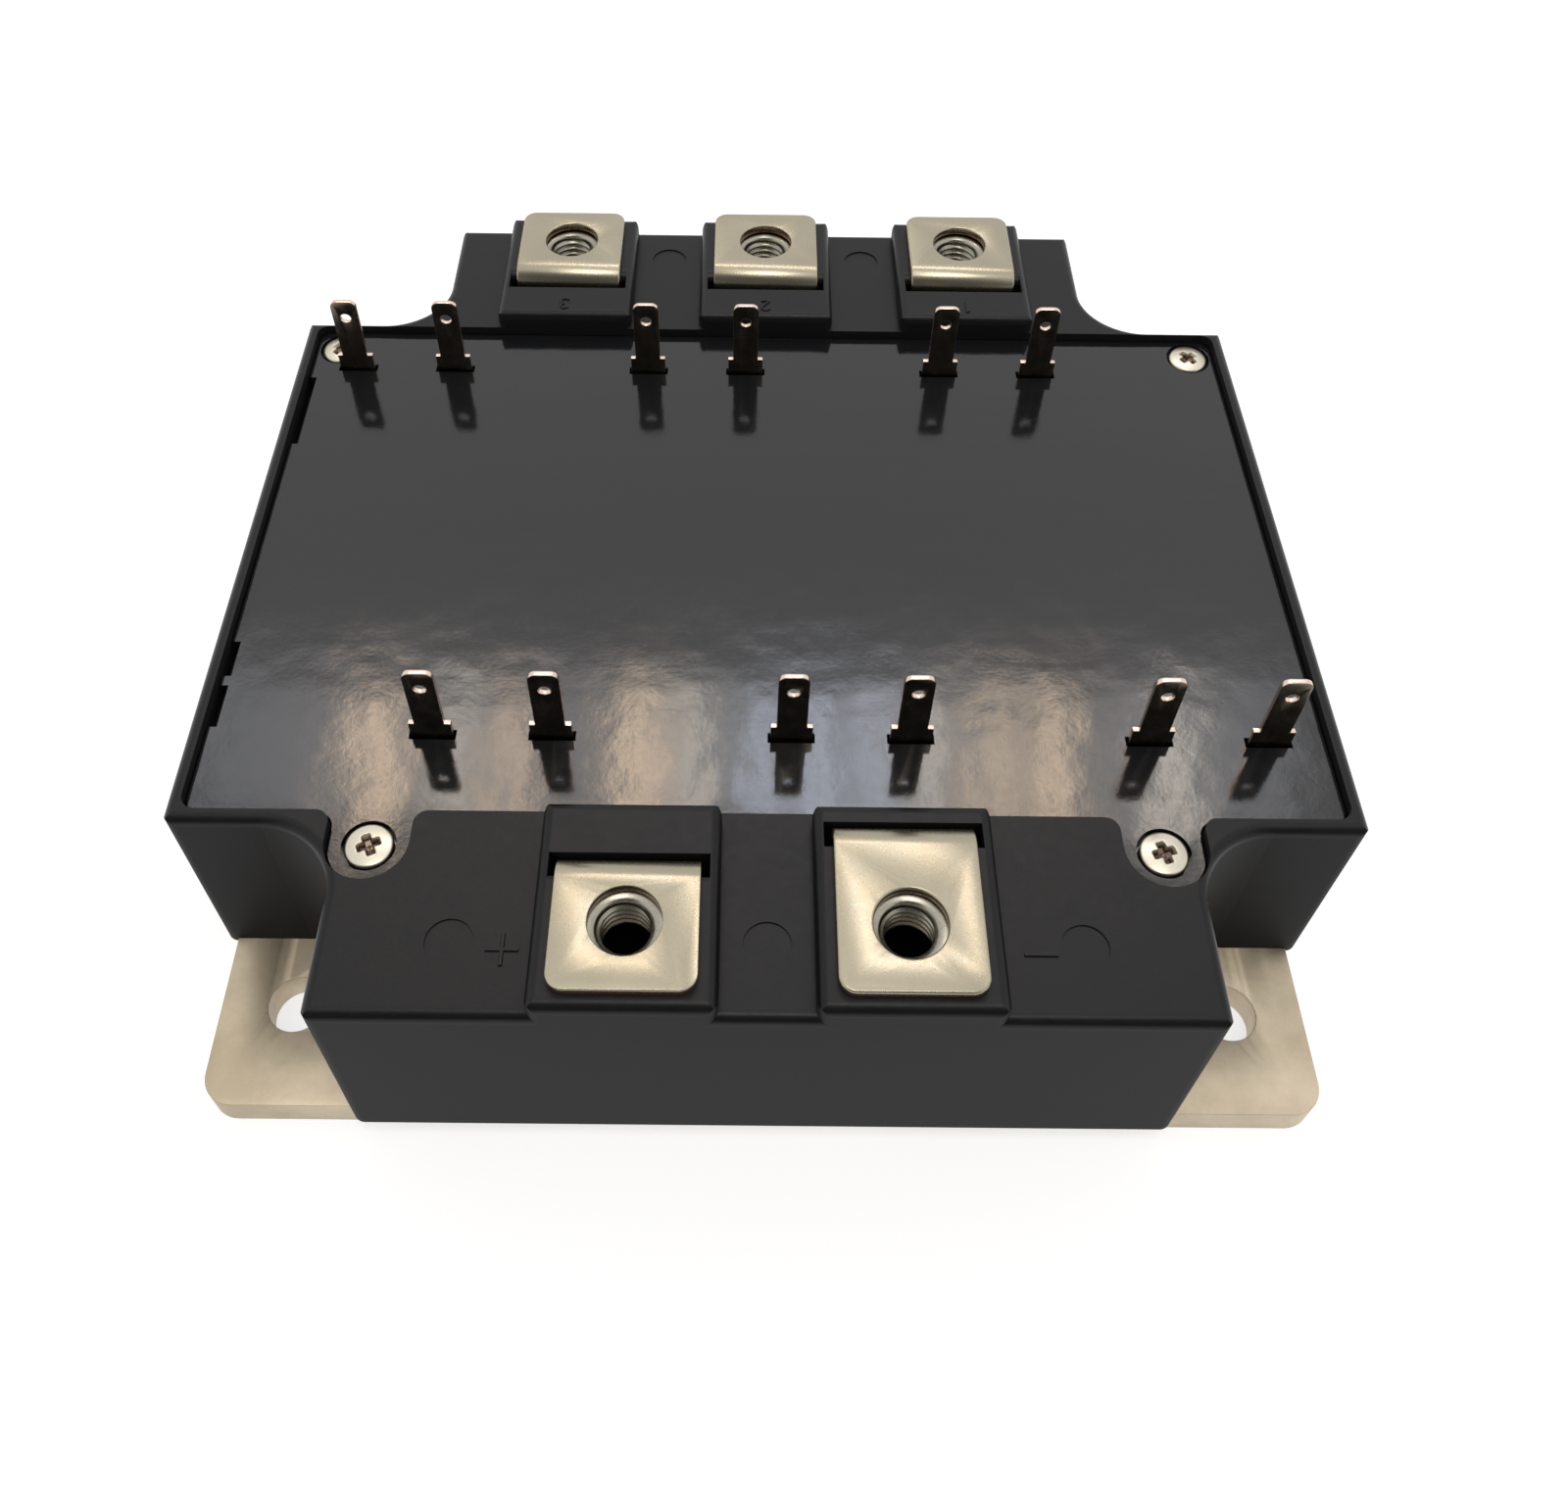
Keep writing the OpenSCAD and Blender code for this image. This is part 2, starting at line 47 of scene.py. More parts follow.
# Camera: looks down on the module from the supply-terminal side, close enough that the far
# side tapers.

camera_place = (-2.43 * MM, -99.14 * MM, 141.41 * MM)
camera_turn = (40.835, -0.534, 0.348)

camera_data = bpy.data.cameras.new("camera")
camera_data.sensor_width = 36
camera_data.lens = 33.93
camera_data.shift_x = 0.0236
camera_data.shift_y = -0.1369
camera_data.clip_start = 0.01
camera = bpy.data.objects.new("camera", camera_data)
camera.location = camera_place
camera.rotation_euler = [math.radians(a) for a in camera_turn]
bpy.context.scene.collection.objects.link(camera)
bpy.context.scene.camera = camera
bpy.context.scene.view_settings.view_transform = "Standard"

# Studio: a white sweep under and round the module, which lights it at a plain level. It is white
# to the camera and in reflections, apart from one soft dark flag that hangs high in front and
# draws the dark line along each rounded front edge.

world_light = 0.62
flag_rise = 36
flag_inner = 24
flag_outer = 46
flag_shade = 0.12
floor_size = 3.0
floor_white = 0.6
floor_glow = 0.63


def linear(code):
    """Turns an sRGB hex colour into linear light: the standard curve, one channel at a time."""
    channels = np.array([int(code[i:i + 2], 16) for i in (0, 2, 4)]) / 255
    values = np.where(channels <= 0.04045, channels / 12.92, ((channels + 0.055) / 1.055) ** 2.4)
    return (*values.tolist(), 1.0)


def add(tree, kind, inputs=None, **settings):
    """Adds one node. Each input is a value, or another node's output, which is linked."""
    node = tree.nodes.new("ShaderNode" + kind)
    for name, value in settings.items():
        setattr(node, name, value)
    for key, value in (inputs or {}).items():
        if isinstance(value, bpy.types.NodeSocket):
            tree.links.new(value, node.inputs[key])
        else:
            node.inputs[key].default_value = value
    return node


def seen_directly(tree):
    """1 for a ray from the camera, or one that a mirror or clear surface sends on, else 0."""
    path = add(tree, "LightPath").outputs
    either = add(tree, "Math", {0: path["Is Camera Ray"], 1: path["Is Glossy Ray"]},
                 operation="MAXIMUM")
    return add(tree, "Math", {0: either.outputs[0], 1: path["Is Transmission Ray"]},
               operation="MAXIMUM").outputs[0]


world = bpy.data.worlds.new("studio")
world.use_nodes = True
world.node_tree.nodes.clear()
tree = world.node_tree
white = add(tree, "MapRange", {"Value": seen_directly(tree), "To Min": world_light})
rise = math.radians(flag_rise)
nearness = add(tree, "VectorMath", {0: add(tree, "TexCoord").outputs["Generated"],
                                    1: (0, -math.cos(rise), math.sin(rise))}, operation="DOT_PRODUCT")
flag = add(tree, "MapRange", {"Value": nearness.outputs["Value"],
                              "From Min": math.cos(math.radians(flag_outer)),
                              "From Max": math.cos(math.radians(flag_inner)),
                              "To Min": 1.0, "To Max": flag_shade}, interpolation_type="SMOOTHSTEP")
glossy = add(tree, "LightPath").outputs["Is Glossy Ray"]
mirrored = add(tree, "Mix", {0: glossy, 2: 1.0, 3: flag.outputs[0]})
level = add(tree, "Math", {0: white.outputs[0], 1: mirrored.outputs[0]}, operation="MULTIPLY")
sky = add(tree, "Background", {"Color": linear("ffffff"), "Strength": level.outputs[0]})
add(tree, "OutputWorld", {"Surface": sky.outputs[0]})
bpy.context.scene.world = world

sweep = bpy.data.materials.new("white_sweep")
sweep.use_nodes = True
sweep.node_tree.nodes.clear()
paint = add(sweep.node_tree, "BsdfDiffuse", {"Color": (floor_white, floor_white, floor_white, 1)})
glow_level = add(sweep.node_tree, "Math", {0: seen_directly(sweep.node_tree), 1: floor_glow},
                 operation="MULTIPLY")
glow = add(sweep.node_tree, "Emission", {"Strength": glow_level.outputs[0]})
both = add(sweep.node_tree, "AddShader", {0: paint.outputs[0], 1: glow.outputs[0]})
add(sweep.node_tree, "OutputMaterial", {"Surface": both.outputs[0]})

half = floor_size / 2
floor_mesh = bpy.data.meshes.new("floor")
floor_mesh.from_pydata([(-half, -half, 0), (half, -half, 0), (half, half, 0), (-half, half, 0)], [],
                       [(0, 1, 2, 3)])
floor_mesh.materials.append(sweep)
floor = bpy.data.objects.new("floor", floor_mesh)
bpy.context.scene.collection.objects.link(floor)

# Lights: one soft light overhead, which draws the bright lines on bends and edges, and behind it a
# broad faint one with a row of tall narrow ones, which the glossy cover shows as soft streaks.
# A streak is its place along X and its width, both in millimetres, and its tint.

aim_height = 0.02
cover_height = 0.025
top_place = (0.04, -0.2, 1.0)
top_size = 0.3
top_radiance = 6.5
streak_distance = 0.64
streak_rise = 59.2
streak_height = 0.15
streak_radiance = 13.0
veil_width = 1.05
veil_gap = 0.02
veil_radiance = 1.65
warm, neutral, cool = "ffdcb4", "fff0dc", "e4ecff"
streaks = [(-344, 34, warm), (-268, 16, neutral), (-216, 20, warm), (-99, 32, warm), (-49, 17, neutral),
           (20, 15, cool), (72, 17, cool), (124, 14, cool), (176, 18, neutral), (235, 20, warm),
           (292, 30, warm), (401, 24, neutral)]


def lamp(name, place, aim, size, power, colour):
    """Makes a rectangular area light at a place, turned to face a point."""
    data = bpy.data.lights.new(name, "AREA")
    data.shape = "RECTANGLE"
    data.size, data.size_y = size
    data.energy = power
    data.color = linear(colour)[:3]
    light = bpy.data.objects.new(name, data)
    bpy.context.scene.collection.objects.link(light)
    light.location = place
    towards = np.array(aim) - np.array(place)
    flat = math.hypot(towards[0], towards[1])
    light.rotation_euler = (math.atan2(flat, -towards[2]), 0, math.atan2(-towards[0], towards[1]))
    return light


def glowing(size, radiance):
    """The power that gives a rectangular light a radiance: pi times its area times that radiance."""
    return math.pi * size[0] * size[1] * radiance


lamp("top_light", top_place, (0, 0, 0), (top_size, top_size),
     glowing((top_size, top_size), top_radiance), "fffaf2")
streak_z = cover_height + streak_distance * math.tan(math.radians(streak_rise))
veil_size = (veil_width, streak_height)
lamp("veil_light", (0, streak_distance + veil_gap, streak_z), (0, 0, aim_height), veil_size,
     glowing(veil_size, veil_radiance), "f4f6ff")
for i, (x, width, tint) in enumerate(streaks):
    size = (width * MM, streak_height)
    lamp(f"streak_light_{i}", (x * MM, streak_distance, streak_z), (x * MM, 0, aim_height), size,
         glowing(size, streak_radiance), tint)

# Base plate: pressed from copper sheet, nickel-plated all over, and screwed to a heat sink
# through its four holes. It carries everything else.

plate_grain = 0.35 * MM
plate_cloud = 14 * MM
plate_stain = 8 * MM


def surface_material(name):
    """A new empty material: its tree, its Principled shader and its Object coordinates."""
    material = bpy.data.materials.new(name)
    material.use_nodes = True
    tree = material.node_tree
    tree.nodes.clear()
    shader = add(tree, "BsdfPrincipled")
    add(tree, "OutputMaterial", {"Surface": shader.outputs[0]})
    return material, tree, shader, add(tree, "TexCoord").outputs["Object"]


def dress(names, material):
    """Gives CAD nodes a material in place of their own."""
    for name in names:
        nodes[name].data.materials.clear()
        nodes[name].data.materials.append(material)


# Satin nickel over rolled copper: it looks beige and matte, with a fine grain, faint clouds and a
# few brownish stains.
plate_nickel, tree, shader, place = surface_material("satin_nickel_plate")
clouds = add(tree, "TexNoise", {"Vector": place, "Scale": 1 / plate_cloud, "Detail": 6.0,
                                "Roughness": 0.65})
grain = add(tree, "TexNoise", {"Vector": place, "Scale": 1 / plate_grain, "Detail": 3.0})
patchy = add(tree, "MapRange", {"Value": clouds.outputs[0], "From Min": 0.38, "From Max": 0.62})
tone = add(tree, "Mix", {0: patchy.outputs[0], 6: linear("b5a891"), 7: linear("cec0aa")},
           data_type="RGBA")
blotches = add(tree, "TexNoise", {"Vector": place, "Scale": 1 / plate_stain, "Detail": 7.0,
                                  "Roughness": 0.7})
stained = add(tree, "MapRange", {"Value": blotches.outputs[0], "From Min": 0.56, "From Max": 0.74,
                                 "To Max": 0.4})
tone = add(tree, "Mix", {0: stained.outputs[0], 6: tone.outputs[2], 7: linear("94826a")}, data_type="RGBA")
rough = add(tree, "MapRange", {"Value": grain.outputs[0], "To Min": 0.38, "To Max": 0.54})
relief = add(tree, "Bump", {"Height": grain.outputs[0], "Strength": 0.25, "Distance": 0.02 * MM})
shader.inputs["Metallic"].default_value = 1
tree.links.new(tone.outputs[2], shader.inputs["Base Color"])
tree.links.new(rough.outputs[0], shader.inputs["Roughness"])
tree.links.new(relief.outputs[0], shader.inputs["Normal"])
plate_edge = 0.3 * MM
weld = 0.0005 * MM
flat_limit = 0.3
sharp_limit = 35
edge_rounds = 3


def eased_copy(node, name, edge, material):
    """A copy of a CAD node with its loose triangles joined and its sharp edges rounded to a radius."""
    mesh = nodes[node].data.copy()
    work = bmesh.new()
    work.from_mesh(mesh)
    bmesh.ops.remove_doubles(work, verts=work.verts, dist=weld)
    bmesh.ops.dissolve_limit(work, angle_limit=math.radians(flat_limit), verts=work.verts,
                             edges=work.edges)
    work.to_mesh(mesh)
    work.free()
    mesh.materials.clear()
    mesh.materials.append(material)
    piece = bpy.data.objects.new(name, mesh)
    bpy.context.scene.collection.objects.link(piece)
    bevel = piece.modifiers.new("eased_edges", "BEVEL")
    bevel.limit_method = "ANGLE"
    bevel.angle_limit = math.radians(sharp_limit)
    bevel.width = edge
    bevel.segments = edge_rounds
    bevel.harden_normals = True
    mesh.shade_smooth()
    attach(piece, "root")
    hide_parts(node)
    return piece


eased_copy("base_plate", "plated_base", plate_edge, plate_nickel)

# Case frame: one injection moulding in black glass-filled polyester, glued down on the plate.
# It holds the nuts and guides the straps.

mould_grain = 0.45 * MM
mould_mottle = 1.6 * MM

# Moulded polyester: nearly black. Level faces came off an eroded mould face and look satin and
# mottled, while upright ones rub along the mould as they slide out of it, and look matt.
case_plastic, tree, shader, place = surface_material("moulded_black_polyester")
grain = add(tree, "TexNoise", {"Vector": place, "Scale": 1 / mould_grain, "Detail": 4.0})
mottle = add(tree, "TexNoise", {"Vector": place, "Scale": 1 / mould_mottle, "Detail": 5.0,
                                "Distortion": 1.5})
facing = add(tree, "SeparateXYZ", {"Vector": add(tree, "TexCoord").outputs["Normal"]})
level = add(tree, "MapRange", {"Value": facing.outputs["Z"], "From Min": 0.6, "From Max": 0.95})
mottled = add(tree, "Math", {0: mottle.outputs[0], 1: level.outputs[0]}, operation="MULTIPLY")
tone = add(tree, "Mix", {0: mottled.outputs[0], 6: linear("101012"), 7: linear("19191b")},
           data_type="RGBA")
rubbed = add(tree, "MapRange", {"Value": facing.outputs["Z"], "From Max": 0.35, "To Min": 0.66,
                                "To Max": 0.28})
rough = add(tree, "Math", {0: mottled.outputs[0], 1: 0.22, 2: rubbed.outputs[0]},
            operation="MULTIPLY_ADD")
height = add(tree, "Math", {0: grain.outputs[0], 1: mottled.outputs[0]}, operation="ADD")
relief = add(tree, "Bump", {"Height": height.outputs[0], "Strength": 0.3, "Distance": 0.03 * MM})
shader.inputs["IOR"].default_value = 1.57
shader.inputs["Specular IOR Level"].default_value = 0.2
tree.links.new(tone.outputs[2], shader.inputs["Base Color"])
tree.links.new(rough.outputs[0], shader.inputs["Roughness"])
tree.links.new(relief.outputs[0], shader.inputs["Normal"])
dress(["case_frame"], case_plastic)

# Cover: a flat moulded plate of the same polyester, dropped in over the gel and held by four
# screws. Its polished mould leaves it glossier than the case.

flow_length = 22 * MM
flow_width = 1.2 * MM
sink_width = 7 * MM

# Polished moulding: dark grey-black and glossy. Broad sinks, faint flow lines and a fine speckle
# ripple what it shows.
cover_plastic, tree, shader, place = surface_material("polished_black_polyester")
stretch = add(tree, "Mapping", {"Vector": place,
                                "Scale": (1 / flow_length, 1 / flow_width, 1 / flow_width)})
flow = add(tree, "TexNoise", {"Vector": stretch.outputs[0], "Scale": 1.0, "Detail": 4.0})
speckle = add(tree, "TexNoise", {"Vector": place, "Scale": 1 / mould_grain, "Detail": 3.0})
tone = add(tree, "Mix", {0: flow.outputs[0], 6: linear("131416"), 7: linear("1a1b1d")}, data_type="RGBA")
rough = add(tree, "MapRange", {"Value": speckle.outputs[0], "To Min": 0.08, "To Max": 0.13})
sinks = add(tree, "TexNoise", {"Vector": place, "Scale": 1 / sink_width, "Detail": 2.0})
ripple = add(tree, "Math", {0: flow.outputs[0], 1: 0.03, 2: sinks.outputs[0]}, operation="MULTIPLY_ADD")
height = add(tree, "Math", {0: speckle.outputs[0], 1: 0.07, 2: ripple.outputs[0]},
             operation="MULTIPLY_ADD")
relief = add(tree, "Bump", {"Height": height.outputs[0], "Strength": 1.0, "Distance": 0.06 * MM})
shader.inputs["IOR"].default_value = 1.57
tree.links.new(tone.outputs[2], shader.inputs["Base Color"])
tree.links.new(rough.outputs[0], shader.inputs["Roughness"])
tree.links.new(relief.outputs[0], shader.inputs["Normal"])
dress(["cover"], cover_plastic)

# Straps: each is punched from copper strip, bent over its block after moulding, and nickel-plated
# before that, so the sheared edges show copper.

strap_edge = 0.2 * MM
strap_gauge = 1.0 * MM
shear_start = 0.55 * MM
shear_full = 0.8 * MM
strap_grain = 0.25 * MM
strap_cloud = 5 * MM
straps = ["positive_terminal", "negative_terminal", "output_terminal_left",
          "output_terminal_middle", "output_terminal_right"]
strap_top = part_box("positive_terminal")[1].z
shear_lowest = strap_top - 1.05 * strap_gauge

# Nickel over copper strip: warm, pale and satin, with soft clouds, and pink along the sheared edge.
strap_nickel, tree, shader, place = surface_material("nickel_plated_strip")
clouds = add(tree, "TexNoise", {"Vector": place, "Scale": 1 / strap_cloud, "Detail": 4.0})
grain = add(tree, "TexNoise", {"Vector": place, "Scale": 1 / strap_grain, "Detail": 3.0})
tone = add(tree, "Mix", {0: clouds.outputs[0], 6: linear("9e9784"), 7: linear("b0a894")}, data_type="RGBA")
depth = add(tree, "SeparateXYZ", {"Vector": place})
sheared = add(tree, "MapRange", {"Value": depth.outputs["Z"], "From Min": strap_top - shear_start,
                                 "From Max": strap_top - shear_full})
facing = add(tree, "SeparateXYZ", {"Vector": add(tree, "TexCoord").outputs["Normal"]})
level = add(tree, "Math", {0: facing.outputs["Z"]}, operation="ABSOLUTE")
upright = add(tree, "MapRange", {"Value": level.outputs[0], "From Min": 0.5, "From Max": 0.2})
bare = add(tree, "Math", {0: sheared.outputs[0], 1: upright.outputs[0]}, operation="MULTIPLY")
above = add(tree, "Math", {0: depth.outputs["Z"], 1: shear_lowest}, operation="GREATER_THAN")
bare = add(tree, "Math", {0: bare.outputs[0], 1: above.outputs[0]}, operation="MULTIPLY")
tone = add(tree, "Mix", {0: bare.outputs[0], 6: tone.outputs[2], 7: linear("b9785f")},
           data_type="RGBA")
rough = add(tree, "MapRange", {"Value": grain.outputs[0], "To Min": 0.25, "To Max": 0.31})
relief = add(tree, "Bump", {"Height": clouds.outputs[0], "Strength": 0.5, "Distance": 0.03 * MM})
shader.inputs["Metallic"].default_value = 1
tree.links.new(tone.outputs[2], shader.inputs["Base Color"])
tree.links.new(rough.outputs[0], shader.inputs["Roughness"])
tree.links.new(relief.outputs[0], shader.inputs["Normal"])
for name in straps:
    eased_copy(name, name.replace("terminal", "strap"), strap_edge, strap_nickel)

# Nuts: five M5 hexagon nuts, cold-formed, tapped and zinc-plated. Each lies loose in a pocket
# under its strap, and the strap keeps it there.

nut_pitch = 0.8 * MM
nut_thread_depth = 0.4 * MM
nut_lead_in = 0.45 * MM
nut_mouth = 0.55 * MM
nut_shoulder = 0.97
nut_corner_cone = 30
nut_flank_slope = 2.6
nut_root_width = 0.15
nut_bore = 2.1 * MM
nut_around = 96
nut_along = 44


def surface(name, rows, material, node):
    """Makes one closed piece from a grid of points, and has it stand for a CAD node.

    rows[i, j] is a point, with i along the profile and j round the axis. Each point joins the next
    one both ways, the last column joins the first, and the first and last rows are closed by a
    fan, or joined to each other where they meet.
    """
    count, around = rows.shape[:2]
    i, j = np.meshgrid(np.arange(count - 1), np.arange(around), indexing="ij")
    k = (j + 1) % around
    faces = np.stack([i * around + j, i * around + k, (i + 1) * around + k, (i + 1) * around + j], -1)
    mesh = bpy.data.meshes.new(name)
    mesh.from_pydata(rows.reshape(-1, 3).tolist(), [], faces.reshape(-1, 4).tolist())
    work = bmesh.new()
    work.from_mesh(mesh)
    bmesh.ops.remove_doubles(work, verts=work.verts, dist=weld)
    bmesh.ops.recalc_face_normals(work, faces=work.faces)
    work.to_mesh(mesh)
    work.free()
    mesh.materials.append(material)
    mesh.shade_smooth()
    piece = bpy.data.objects.new(name, mesh)
    bpy.context.scene.collection.objects.link(piece)
    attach(piece, "root")
    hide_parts(node)
    return piece


def node_axis(node):
    """The middle of a CAD node's box seen from above, with its lowest and highest z."""
    low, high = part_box(node)
    return (low.x + high.x) / 2, (low.y + high.y) / 2, low.z, high.z


def polar(x, y, radius, angle, z):
    """Points at a radius and an angle about an upright axis."""
    return np.stack([x + radius * np.cos(angle), y + radius * np.sin(angle),
                     z + 0 * radius * angle], -1)


def nut_rows(x, y, low, top, flats, bore):
    """A hexagon nut as one ring of profile points carried round its axis.

    The bore's radius rises and falls with height less turn, one pitch a turn, which makes the
    thread. The outside follows the hexagon, its distance being half the width over flats divided
    by the cosine of the angle from the nearest flat's middle, and a 30 degree cone cuts its corners.
    """
    angle = np.linspace(0, 2 * np.pi, nut_around, endpoint=False)[None, :]
    hexagon = flats / 2 / np.cos(angle % (np.pi / 3) - np.pi / 6)
    height = np.linspace(top - nut_lead_in, low + nut_lead_in, nut_along)[:, None]
    phase = (height / nut_pitch - angle / (2 * np.pi)) % 1
    flank = np.clip(np.abs(phase - 0.5) * nut_flank_slope - nut_root_width, 0, 1)
    thread = polar(x, y, bore + nut_thread_depth * flank, angle, height)
    mouth = bore + nut_mouth
    shoulder = flats / 2 * nut_shoulder
    drop = (hexagon - shoulder) * math.tan(math.radians(nut_corner_cone))
    even = 0 * angle
    rows = [polar(x, y, mouth + even, angle, top), thread, polar(x, y, mouth + even, angle, low),
            polar(x, y, shoulder + even, angle, low), polar(x, y, hexagon, angle, low + drop),
            polar(x, y, hexagon, angle, top - drop), polar(x, y, shoulder + even, angle, top),
            polar(x, y, mouth + even, angle, top)]
    return np.concatenate(rows)


# Zinc-plated steel: a little greyer than the nickel beside it, and bright on the thread's crests.
nut_zinc, tree, shader, place = surface_material("zinc_plated_steel")
grain = add(tree, "TexNoise", {"Vector": place, "Scale": 1 / strap_grain, "Detail": 4.0})
tone = add(tree, "Mix", {0: grain.outputs[0], 6: linear("8e8b80"), 7: linear("b5b1a2")}, data_type="RGBA")
rough = add(tree, "MapRange", {"Value": grain.outputs[0], "To Min": 0.22, "To Max": 0.38})
relief = add(tree, "Bump", {"Height": grain.outputs[0], "Strength": 0.2, "Distance": 0.02 * MM})
shader.inputs["Metallic"].default_value = 1
tree.links.new(tone.outputs[2], shader.inputs["Base Color"])
tree.links.new(rough.outputs[0], shader.inputs["Roughness"])
tree.links.new(relief.outputs[0], shader.inputs["Normal"])
for name in ["positive_nut", "negative_nut", "output_nut_left", "output_nut_middle",
             "output_nut_right"]:
    x, y, low, top = node_axis(name)
    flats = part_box(name)[1].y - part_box(name)[0].y
    surface(name + "_tapped", nut_rows(x, y, low, top, flats, nut_bore), nut_zinc, name)

# Cover screws: four thread-forming screws with a cross recess, cold-headed, rolled and
# nickel-plated. Each draws the cover down on a boss of the case.

screw_around = 96
screw_head_rings = 40
screw_pitch = 0.9 * MM
screw_dome_drop = 0.3 * MM
screw_rim_ease = 0.18 * MM
screw_rim_drop = 0.1 * MM
screw_head_height = 1.45 * MM
screw_shank = 0.8 * MM
screw_ridge = 0.28 * MM
screw_point = 1.2 * MM
screw_tip = 0.35 * MM
screw_along = 52
cross_arm = 1.12 * MM
cross_slot = 0.36 * MM
cross_depth = 1.1 * MM
cross_wall = 0.14 * MM
cross_end = 0.3 * MM
cross_rise = 0.45
cross_shade_depth = 0.45 * MM
screw_turns = {"cover_screw_front_left": 24, "cover_screw_front_right": 16,
               "cover_screw_back_left": 50, "cover_screw_back_right": 37}


def screw_rows(x, y, low, top, head, turn):
    """A cross-recessed screw as one profile carried round its axis.

    The head is a shallow dome. The recess takes away a depth that is full within half a slot
    width of either arm's middle line, fades over a narrow wall, and grows shallower towards the
    arm's tip. The shank's radius follows a ridge once every pitch, and it ends in a blunt cone.
    """
    angle = np.linspace(0, 2 * np.pi, screw_around, endpoint=False)[None, :]
    radius = np.linspace(0, 1, screw_head_rings)[:, None] * (head - screw_rim_ease)
    along = np.stack([radius * np.cos(angle - turn - q) for q in (0, np.pi / 2)])
    aside = np.stack([radius * np.sin(angle - turn - q) for q in (0, np.pi / 2)])
    wall = np.clip((cross_slot + cross_wall / 2 - np.abs(aside)) / cross_wall, 0, 1)
    reach = np.clip((cross_arm - np.abs(along)) / cross_end, 0, 1)
    deep = (wall * reach * (1 - cross_rise * np.abs(along) / cross_arm)).max(0) * cross_depth
    dome = top - screw_dome_drop * (radius / head) ** 2
    crown = polar(x, y, radius, angle, dome - deep)
    even = 0 * angle
    rim = dome[-1, 0] - screw_rim_drop
    seat = top - screw_head_height
    height = np.linspace(seat, low + screw_point, screw_along)[:, None]
    phase = (height / screw_pitch - angle / (2 * np.pi)) % 1
    ridge = np.clip(1 - np.abs(phase - 0.5) * 5, 0, 1)
    shank = polar(x, y, screw_shank + screw_ridge * ridge, angle, height)
    rows = [crown, polar(x, y, head + even, angle, rim),
            polar(x, y, head + even, angle, seat + screw_rim_drop),
            polar(x, y, head - screw_rim_drop + even, angle, seat), shank,
            polar(x, y, screw_tip + even, angle, low), polar(x, y, 0 * even, angle, low)]
    return np.concatenate(rows)


# Nickel-plated steel: the palest metal here, satin on the dome, with painted shade darkening its colour
# down in the recess.
screw_nickel, tree, shader, place = surface_material("nickel_plated_steel")
grain = add(tree, "TexNoise", {"Vector": place, "Scale": 1 / strap_grain, "Detail": 4.0})
tone = add(tree, "Mix", {0: grain.outputs[0], 6: linear("c9c2b0"), 7: linear("dcd6c6")}, data_type="RGBA")
depth = add(tree, "SeparateXYZ", {"Vector": place})
screw_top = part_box("cover_screw_front_left")[1].z
# Painted shade: the colour turns dark brownish grey with depth below the head's top, so the cross recess
# looks shaded.
recess_shade = add(tree, "MapRange", {"Value": depth.outputs["Z"], "From Min": screw_top - cross_shade_depth,
                              "From Max": screw_top - 1.4 * cross_shade_depth})
tone = add(tree, "Mix", {0: recess_shade.outputs[0], 6: tone.outputs[2], 7: linear("74655a")},
           data_type="RGBA")
rough = add(tree, "MapRange", {"Value": grain.outputs[0], "To Min": 0.28, "To Max": 0.42})
relief = add(tree, "Bump", {"Height": grain.outputs[0], "Strength": 0.2, "Distance": 0.02 * MM})
shader.inputs["Metallic"].default_value = 1
tree.links.new(tone.outputs[2], shader.inputs["Base Color"])
tree.links.new(rough.outputs[0], shader.inputs["Roughness"])
tree.links.new(relief.outputs[0], shader.inputs["Normal"])
for name, turn in screw_turns.items():
    x, y, low, top = node_axis(name)
    head = (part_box(name)[1].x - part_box(name)[0].x) / 2
    rows = screw_rows(x, y, low, top, head, math.radians(turn))
    surface(name.replace("cover_screw", "cross_screw"), rows, screw_nickel, name)

# Signal tabs: twelve flat pins punched from brass strip that is already nickel-flashed, so
# their sheared edges are bare. Their shoulders stop a socket at the right depth.

tab_edge = 0.07 * MM
tab_rub = 1.5 * MM

# Nickel-flashed brass: the faces mirror the dark cover, and the sheared edges are pinkish bare metal.
tab_metal, tree, shader, place = surface_material("nickel_flashed_brass")
rub = add(tree, "TexNoise", {"Vector": place, "Scale": 1 / tab_rub, "Detail": 4.0})
facing = add(tree, "SeparateXYZ", {"Vector": add(tree, "TexCoord").outputs["Normal"]})
level = add(tree, "Math", {0: facing.outputs["Y"]}, operation="ABSOLUTE")
sheared = add(tree, "MapRange", {"Value": level.outputs[0], "From Min": 0.6, "From Max": 0.3})
flash = add(tree, "Mix", {0: rub.outputs[0], 6: linear("746a5c"), 7: linear("93897a")},
            data_type="RGBA")
tone = add(tree, "Mix", {0: sheared.outputs[0], 6: flash.outputs[2], 7: linear("e6cfc0")},
           data_type="RGBA")
rough = add(tree, "MapRange", {"Value": rub.outputs[0], "To Min": 0.16, "To Max": 0.34})
shader.inputs["Metallic"].default_value = 1
tree.links.new(tone.outputs[2], shader.inputs["Base Color"])
tree.links.new(rough.outputs[0], shader.inputs["Roughness"])
for row in ("front", "back"):
    for place_number in range(1, 7):
        eased_copy(f"signal_tab_{row}_{place_number}", f"signal_pin_{row}_{place_number}", tab_edge,
                   tab_metal)

# Moulded marks: plus and minus beside the supply terminals, and plain numbers on the output
# blocks. They stand a hair proud of the case, being cut into the mould, and read from behind.

stroke_width = 0.42 * MM
stroke_rise = 0.16 * MM
stroke_sink = 0.05 * MM
full_stroke_size = 2.4 * MM
sign_size = 2.8 * MM
sign_y = -45 * MM
plus_x = -22 * MM
minus_x = 22.7 * MM
digit_size = 1.7 * MM
digit_y = 34.6 * MM
block_rise = 2.0 * MM


